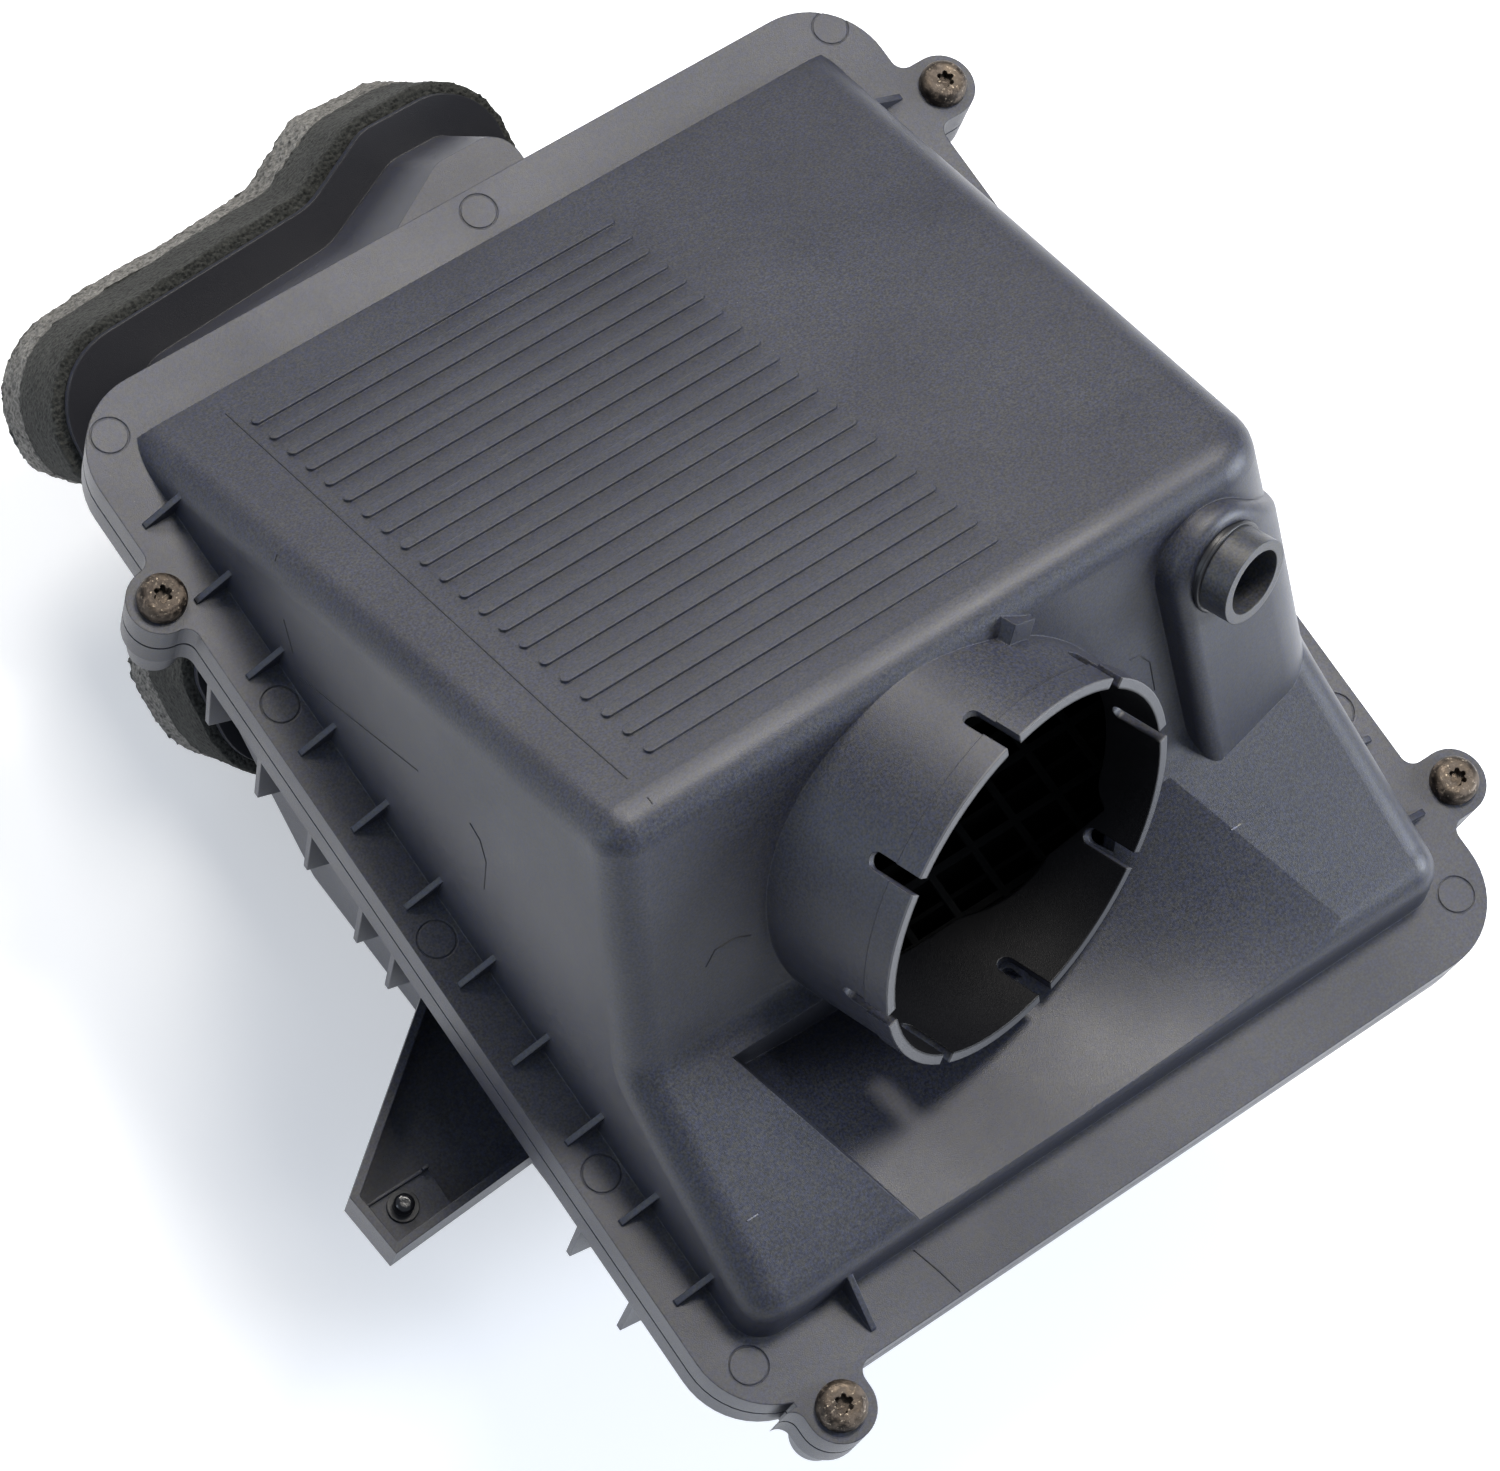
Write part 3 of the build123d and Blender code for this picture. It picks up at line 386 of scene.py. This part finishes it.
def foam(name, dark, light, cell):
    """Foam: painted shade in the pores between paler strands, with larger soft mottling."""
    s = Shader(name)
    pores = s.cells(cell)
    fleck = s.noise(cell * 1.3, detail=4.0, roughness=0.7)
    mottle = s.noise(45.0, detail=4.0)
    base = s.ramp(fleck, [(0.28, dark), (0.72, light)])
    # painted shade: colour darkened in the pores, where the bump sinks pits
    pore_painted_shade = s.span(pores, 0.12, 0.45, 0.45, 1.1)
    shade = s.mix(1.0, base, s.grey(pore_painted_shade), "MULTIPLY")
    s.wire("Base Color", s.mix(1.0, shade, s.grey(s.span(mottle, 0.3, 0.7, 0.8, 1.2)), "MULTIPLY"))
    s.set(Roughness=0.93, Specular_IOR_Level=0.25)
    height = s.math("ADD", s.math("MULTIPLY", pores, -1.0), fleck)
    s.wire("Normal", s.bump(height, 0.0009, 0.9))
    return s.material


# ------------------------------------------------------------------ foam pieces
def applied(obj):
    """Bake the object's modifiers into its mesh."""
    graph = bpy.context.evaluated_depsgraph_get()
    mesh = bpy.data.meshes.new_from_object(obj.evaluated_get(graph))
    obj.modifiers.clear()
    obj.data = mesh


def along_mouth(vertices):
    """Lowest and highest place of some vertices along the inlet's axis."""
    places = [MOUTH_AXIS.dot(vertex.co) for vertex in vertices]
    return min(places), max(places)


def foam_piece(name, node, voxel, cell, depth, wave, free_depth):
    """Foam layer made from its plain solid: fine mesh, wavy sides and torn cells.

    It fills its solid's whole thickness, and only the last free_depth of it is torn lengthwise.
    """
    obj = bpy.data.objects.new(name, NODES[node].data.copy())
    bpy.context.scene.collection.objects.link(obj)
    remesh = obj.modifiers.new("remesh", "REMESH")
    remesh.mode = "VOXEL"
    remesh.voxel_size = voxel
    applied(obj)
    smooth = obj.modifiers.new("round", "SMOOTH")
    smooth.factor = 0.8
    smooth.iterations = 1
    applied(obj)
    mesh = obj.data
    moves = []
    for vertex in mesh.vertices:
        place = vertex.co
        swell = wave * noise.noise(place * 38.0)
        pores = noise.voronoi(place / cell)[0]
        torn = depth * (min(pores[0] * 1.6, 1.0) - 1.0)
        fuzz = 0.5 * depth * noise.noise(place / (0.45 * cell))
        inward = -abs(wave) - abs(depth) * 0.3
        moves.append(vertex.normal * (inward + swell + torn + fuzz))
    low, high = along_mouth(NODES[node].data.vertices)
    near, far = along_mouth(mesh.vertices)
    for vertex, move in zip(mesh.vertices, moves):
        along = MOUTH_AXIS.dot(vertex.co)
        stretched = low + (along - near) * (high - low) / (far - near)
        slip = 0.0 if stretched > high - free_depth else MOUTH_AXIS.dot(move)
        vertex.co += move + MOUTH_AXIS * (stretched - along - slip)
    for polygon in mesh.polygons:
        polygon.use_smooth = True
    mesh.materials.clear()
    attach(obj, "tray")
    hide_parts(node)
    return obj


# ------------------------------------------------------------------ mould lines
MOULD_LINES = (                       # millimetres from the flange's centre, on the lid's skin
    ((-95.2, 143.7, 7.6), (-94.2, 93.6, 36.7), (-93.4, 47.5, 63.4), (-92.7, 3.7, 88.8),
     (-91.3, -31.0, 107.0)),
    ((-113.6, 94.4, 33.9), (-119.5, 74.2, 12.6)),
    ((-120.1, 68.8, 7.1), (-118.2, 45.1, 22.5), (-116.4, 22.9, 37.1)),
    ((-115.4, 1.8, 45.9), (-115.5, -3.3, 45.0), (-116.1, -8.2, 40.1), (-117.5, -11.9, 28.8)),
    ((-88.7, -65.7, 58.5), (-85.1, -63.7, 61.8), (-78.7, -63.8, 61.6), (-74.0, -65.1, 59.5)),
    ((53.7, -58.5, 70.6), (57.0, -58.8, 70.2), (60.0, -61.2, 66.1), (60.6, -66.8, 56.6)),
    ((-67.5, -151.7, 0.0), (-65.0, -160.5, 0.0), (-63.4, -168.0, 0.0)),
)
TICKS = ((67.1, -106.5, 28.1), (-108.1, -123.1, 23.4))    # small ejector nicks on the shelf
TICK_LENGTH = 0.0035
LINE_WIDTH = 0.00045
LINE_STEP = 0.002


def skin_tree(node):
    """Search tree over a CAD node's mesh."""
    mesh = NODES[node].data
    corners = [v.co.copy() for v in mesh.vertices]
    return BVHTree.FromPolygons(corners, [tuple(p.vertices) for p in mesh.polygons])


def mould_lines(name, routes, material):
    """Fine raised lines that follow the lid's skin, half sunk in it."""
    skin = skin_tree("lid_shell")
    curve = bpy.data.curves.new(name, "CURVE")
    curve.dimensions = "3D"
    curve.bevel_depth = LINE_WIDTH / 2
    curve.bevel_resolution = 2
    for route in routes:
        places = []
        for start, end in zip(route, route[1:]):
            steps = max(2, int((end - start).length / LINE_STEP))
            places += [start.lerp(end, step / steps) for step in range(steps)]
        places.append(route[-1])
        spline = curve.splines.new("POLY")
        spline.points.add(len(places) - 1)
        for point, place in zip(spline.points, places):
            point.co = (*skin.find_nearest(place)[0], 1.0)
    curve.materials.append(material)
    obj = bpy.data.objects.new(name, curve)
    bpy.context.scene.collection.objects.link(obj)
    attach(obj, "lid")
    return obj


def from_flange(point):
    """Place in metres of a point given in millimetres from the flange's centre."""
    return FLANGE + Vector(point) / 1000.0


# ------------------------------------------------------------------ put together
def dress(material, *nodes):
    """Give CAD nodes a material through their own slots."""
    for node in nodes:
        for slot in NODES[node].material_slots:
            slot.material = material


make_camera()
make_stage()

HOUSING = moulded_plastic("housing_plastic", (0.022, 0.023, 0.031), (0.035, 0.037, 0.047), 0.42, 3200.0)
dress(HOUSING, "lid_shell", "tray_shell")
SPIGOT = moulded_plastic("spigot_plastic", (0.030, 0.031, 0.034), (0.045, 0.046, 0.05), 0.4, 4200.0)
dress(SPIGOT, "breather_spigot")
SEAL_RUBBER = smooth_rubber("seal_rubber", (0.016, 0.016, 0.018), 0.4)
dress(SEAL_RUBBER, "breather_grommet", "ear_grommet", "base_isolators")
dress(smooth_rubber("filter_rubber", (0.03, 0.03, 0.03), 0.5), "filter_seal")
dress(smooth_rubber("retainer_nylon", (0.06, 0.06, 0.065), 0.35), "screw_retainers")
SCREWS = sorted(n for n in NODES if n.startswith("lid_screw_"))
dress(rusty_screw("screw_steel"), *SCREWS)
dress(smooth_rubber("stud_steel", (0.010, 0.010, 0.012), 0.16), "ear_stud")
dress(worn_metal("plain_steel", (0.52, 0.52, 0.52), (0.3, 0.3, 0.3), 0.35), "lid_bushings")
dress(worn_metal("insert_brass", (0.72, 0.55, 0.26), (0.4, 0.29, 0.13), 0.35), "threaded_inserts")
dress(smooth_rubber("screen_plastic", (0.003, 0.003, 0.003), 0.9), "filter_screen")
dress(filter_paper("filter_paper"), "filter_pleats")
dress(adhesive("adhesive_film"), "seal_tape")

routes = [[from_flange(p) for p in line] for line in MOULD_LINES]
nicks = [[from_flange(p), from_flange(p) + Vector((TICK_LENGTH, 0, 0))] for p in TICKS]
LINE_PLASTIC = moulded_plastic("line_plastic", (0.014, 0.014, 0.017), (0.02, 0.02, 0.024), 0.5, 3200.0)
mould_lines("mould_lines", routes, LINE_PLASTIC)
PALE_PLASTIC = moulded_plastic("pale_plastic", (0.14, 0.14, 0.145), (0.2, 0.2, 0.205), 0.4, 3200.0)
mould_lines("shelf_nicks", nicks, PALE_PLASTIC)

dense = foam_piece(
    "foam_ring_dense", "inlet_seal_dense", voxel=0.0016, cell=0.0016, depth=0.0004, wave=0.0011,
    free_depth=0.0,
)
dense.data.materials.append(foam("foam_dense", (0.010, 0.011, 0.010), (0.052, 0.052, 0.047), 700.0))
open_foam = foam_piece(
    "foam_ring_open", "inlet_seal_open", voxel=0.0014, cell=0.0022, depth=0.0011, wave=0.0012,
    free_depth=0.003,
)
open_foam.data.materials.append(foam("foam_open", (0.035, 0.034, 0.032), (0.25, 0.24, 0.22), 520.0))
